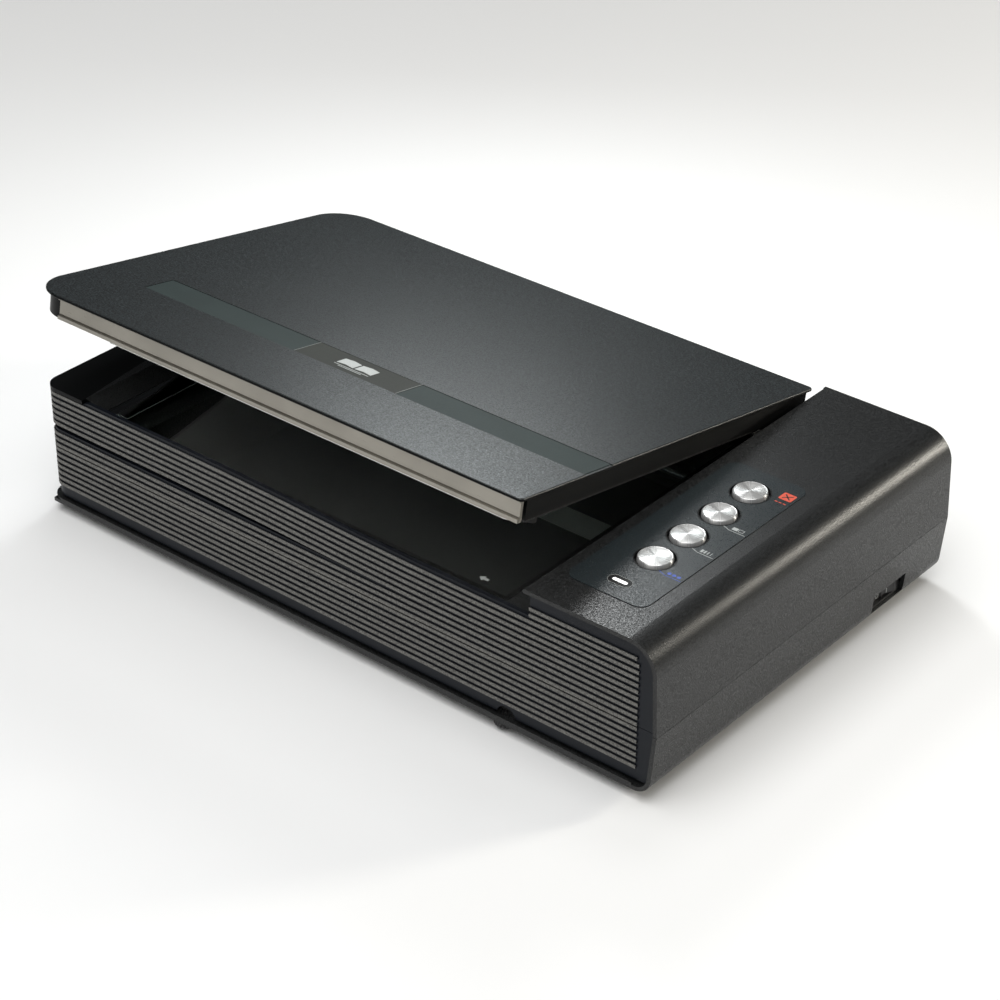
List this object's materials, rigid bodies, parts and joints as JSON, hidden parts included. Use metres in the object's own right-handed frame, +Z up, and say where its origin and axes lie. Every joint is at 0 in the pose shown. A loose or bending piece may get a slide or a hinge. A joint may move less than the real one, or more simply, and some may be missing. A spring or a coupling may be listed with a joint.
{
  "type": "flatbed book scanner",
  "caption": "Long low flatbed scanner styled like a hardback book, with a ribbed page-edge front, lift hinges, lid and raised control block.",
  "frame": {"origin": "on the resting surface, under the centre of the case", "axes": "+X along the long side to the control block, +Y from the front to the hinge side, +Z up"},
  "size_m": [0.453, 0.2755, 0.1499],
  "materials": {
    "case_plastic": "charcoal moulded plastic with a fine spark texture, satin sheen",
    "lid_plastic": "charcoal moulded plastic with a fine leather-like grain, satin sheen",
    "page_rib_plastic": "warm grey-brown moulded ribs, satin",
    "platen_glass": "clear float glass, polished",
    "adhesive_tape": "black double-sided tape",
    "white_strip": "matt white reference strip",
    "inner_plastic": "black moulded plastic, fine texture",
    "hinge_plastic": "dark grey filled nylon",
    "stripe_film": "dark green-grey smooth inlay",
    "badge_metal": "olive grey satin plate",
    "light_band": "silver-grey satin paint",
    "white_foam": "white foam-backed sheet, soft",
    "rubber": "black moulded rubber, matt",
    "zinc_steel": "zinc-plated steel",
    "polished_steel": "ground and polished steel",
    "label_film": "dark blue-grey printed film, satin",
    "light_pipe": "frosted clear light pipe",
    "circuit_board": "green solder mask",
    "chip_black": "black moulded epoxy",
    "switch_black": "black moulded nylon, satin",
    "button_metal": "spun metal-finish cap",
    "motor_can": "drawn steel can, zinc-plated",
    "belt_rubber": "black fibre-backed rubber belt",
    "cable_white": "white flat flexible cable",
    "carriage_black": "matt black glass-filled plastic",
    "bearing_bronze": "sintered bronze and turned brass",
    "white_nylon": "natural white acetal",
    "lamp_glass": "frosted cold-cathode lamp tube",
    "front_mirror": "front-silvered glass strips"
  },
  "bodies": {
    "case": {"button_board": "circuit_board", "button_board_screws": "zinc_steel", "button_switches_and_led": "chip_black", "calibration_strip": "white_strip", "case_screws": "zinc_steel", "control_label": "label_film", "dc_inlet": "switch_black", "drive_belt": "belt_rubber", "flat_cable": "cable_white", "front_fascia_lower": "page_rib_plastic", "front_fascia_upper": "page_rib_plastic", "glass_tape": "adhesive_tape", "guide_rod": "polished_steel", "hinge_wells": "inner_plastic", "idler_bracket": "zinc_steel", "led_window": "light_pipe", "lower_housing": "case_plastic", "main_board": "circuit_board", "main_board_chips": "chip_black", "main_board_standoffs": "inner_plastic", "motor_bracket": "zinc_steel", "platen_glass": "platen_glass", "power_switch_body": "switch_black", "rod_clips": "inner_plastic", "rubber_feet": "rubber", "slide_rail": "zinc_steel", "stepper_motor": "motor_can", "tension_spring": "polished_steel", "upper_housing": "case_plastic", "usb_socket": "zinc_steel"},
    "hinge_lifter": {"hinge_posts": "hinge_plastic"},
    "lid": {"lid_cover": "lid_plastic", "lid_stripe": "stripe_film", "lid_badge": "badge_metal", "lid_front_band": "light_band", "lid_tray": "inner_plastic", "platen_mat": "white_foam", "lid_bumpers": "rubber", "lid_hinge_brackets": "zinc_steel"},
    "rocker": {"power_rocker": "switch_black"},
    "carriage": {"carriage_frame": "carriage_black", "rod_bushes": "bearing_bronze", "glide_pads": "white_nylon", "belt_clip": "inner_plastic", "lamp_tube": "lamp_glass", "mirrors": "front_mirror", "lens_barrel": "carriage_black", "sensor_board": "circuit_board"},
    "pinion": {"motor_pinion": "bearing_bronze"},
    "gear": {"drive_gear": "white_nylon"},
    "idler": {"idler_pulley": "white_nylon"},
    "lock": {"transport_lock": "inner_plastic"},
    "button_1": {"button_1_cap": "button_metal", "button_1_plunger": "inner_plastic"},
    "button_2": {"button_2_cap": "button_metal", "button_2_plunger": "inner_plastic"},
    "button_3": {"button_3_cap": "button_metal", "button_3_plunger": "inner_plastic"},
    "button_4": {"button_4_cap": "button_metal", "button_4_plunger": "inner_plastic"}
  },
  "joints": [
    {"name": "lid_lift", "type": "slide", "parent": "case", "child": "hinge_lifter", "axis": [0, 0, 1], "range_m": [0, 0.02]},
    {"name": "lid_hinge", "type": "hinge", "parent": "hinge_lifter", "child": "lid", "pos_m": [-0.0275, 0.1181, 0.095], "axis": [-1, 0, 0], "range_deg": [-10.55, 65]},
    {"name": "power_rocker_tip", "type": "hinge", "parent": "case", "child": "rocker", "pos_m": [0.219, 0.08385, 0.0192], "axis": [0, 0, 1], "range_deg": [0, 12]},
    {"name": "carriage_travel", "type": "slide", "parent": "case", "child": "carriage", "axis": [1, 0, 0], "range_m": [0, 0.3]},
    {"name": "drive_gear_spin", "type": "hinge", "parent": "case", "child": "gear", "pos_m": [0.172, 0.107, 0.025], "axis": [0, 0, 1], "range_deg": [0, 2280]},
    {"name": "pinion_spin", "type": "hinge", "parent": "case", "child": "pinion", "pos_m": [0.172, 0.0809, 0.025], "axis": [0, 0, 1], "range_deg": [-7600, 0]},
    {"name": "idler_spin", "type": "hinge", "parent": "case", "child": "idler", "pos_m": [-0.206, 0.107, 0.018], "axis": [0, 0, 1], "range_deg": [0, 2280]},
    {"name": "transport_lock_turn", "type": "hinge", "parent": "case", "child": "lock", "pos_m": [0.124, -0.1286, 0.0075], "axis": [0, 0, 1], "range_deg": [0, 90]},
    {"name": "button_1_press", "type": "slide", "parent": "case", "child": "button_1", "axis": [0, 0, -1], "range_m": [0, 0.001], "stiffness_N_per_m": 800, "springref_m": -0.001},
    {"name": "button_2_press", "type": "slide", "parent": "case", "child": "button_2", "axis": [0, 0, -1], "range_m": [0, 0.001], "stiffness_N_per_m": 800, "springref_m": -0.001},
    {"name": "button_3_press", "type": "slide", "parent": "case", "child": "button_3", "axis": [0, 0, -1], "range_m": [0, 0.001], "stiffness_N_per_m": 800, "springref_m": -0.001},
    {"name": "button_4_press", "type": "slide", "parent": "case", "child": "button_4", "axis": [0, 0, -1], "range_m": [0, 0.001], "stiffness_N_per_m": 800, "springref_m": -0.001}
  ],
  "couplings": [
    {"joint": "drive_gear_spin", "follows": "carriage_travel", "rad_per_m": 131.58},
    {"joint": "idler_spin", "follows": "carriage_travel", "rad_per_m": 131.58},
    {"joint": "pinion_spin", "follows": "carriage_travel", "rad_per_m": -438.6}
  ]
}
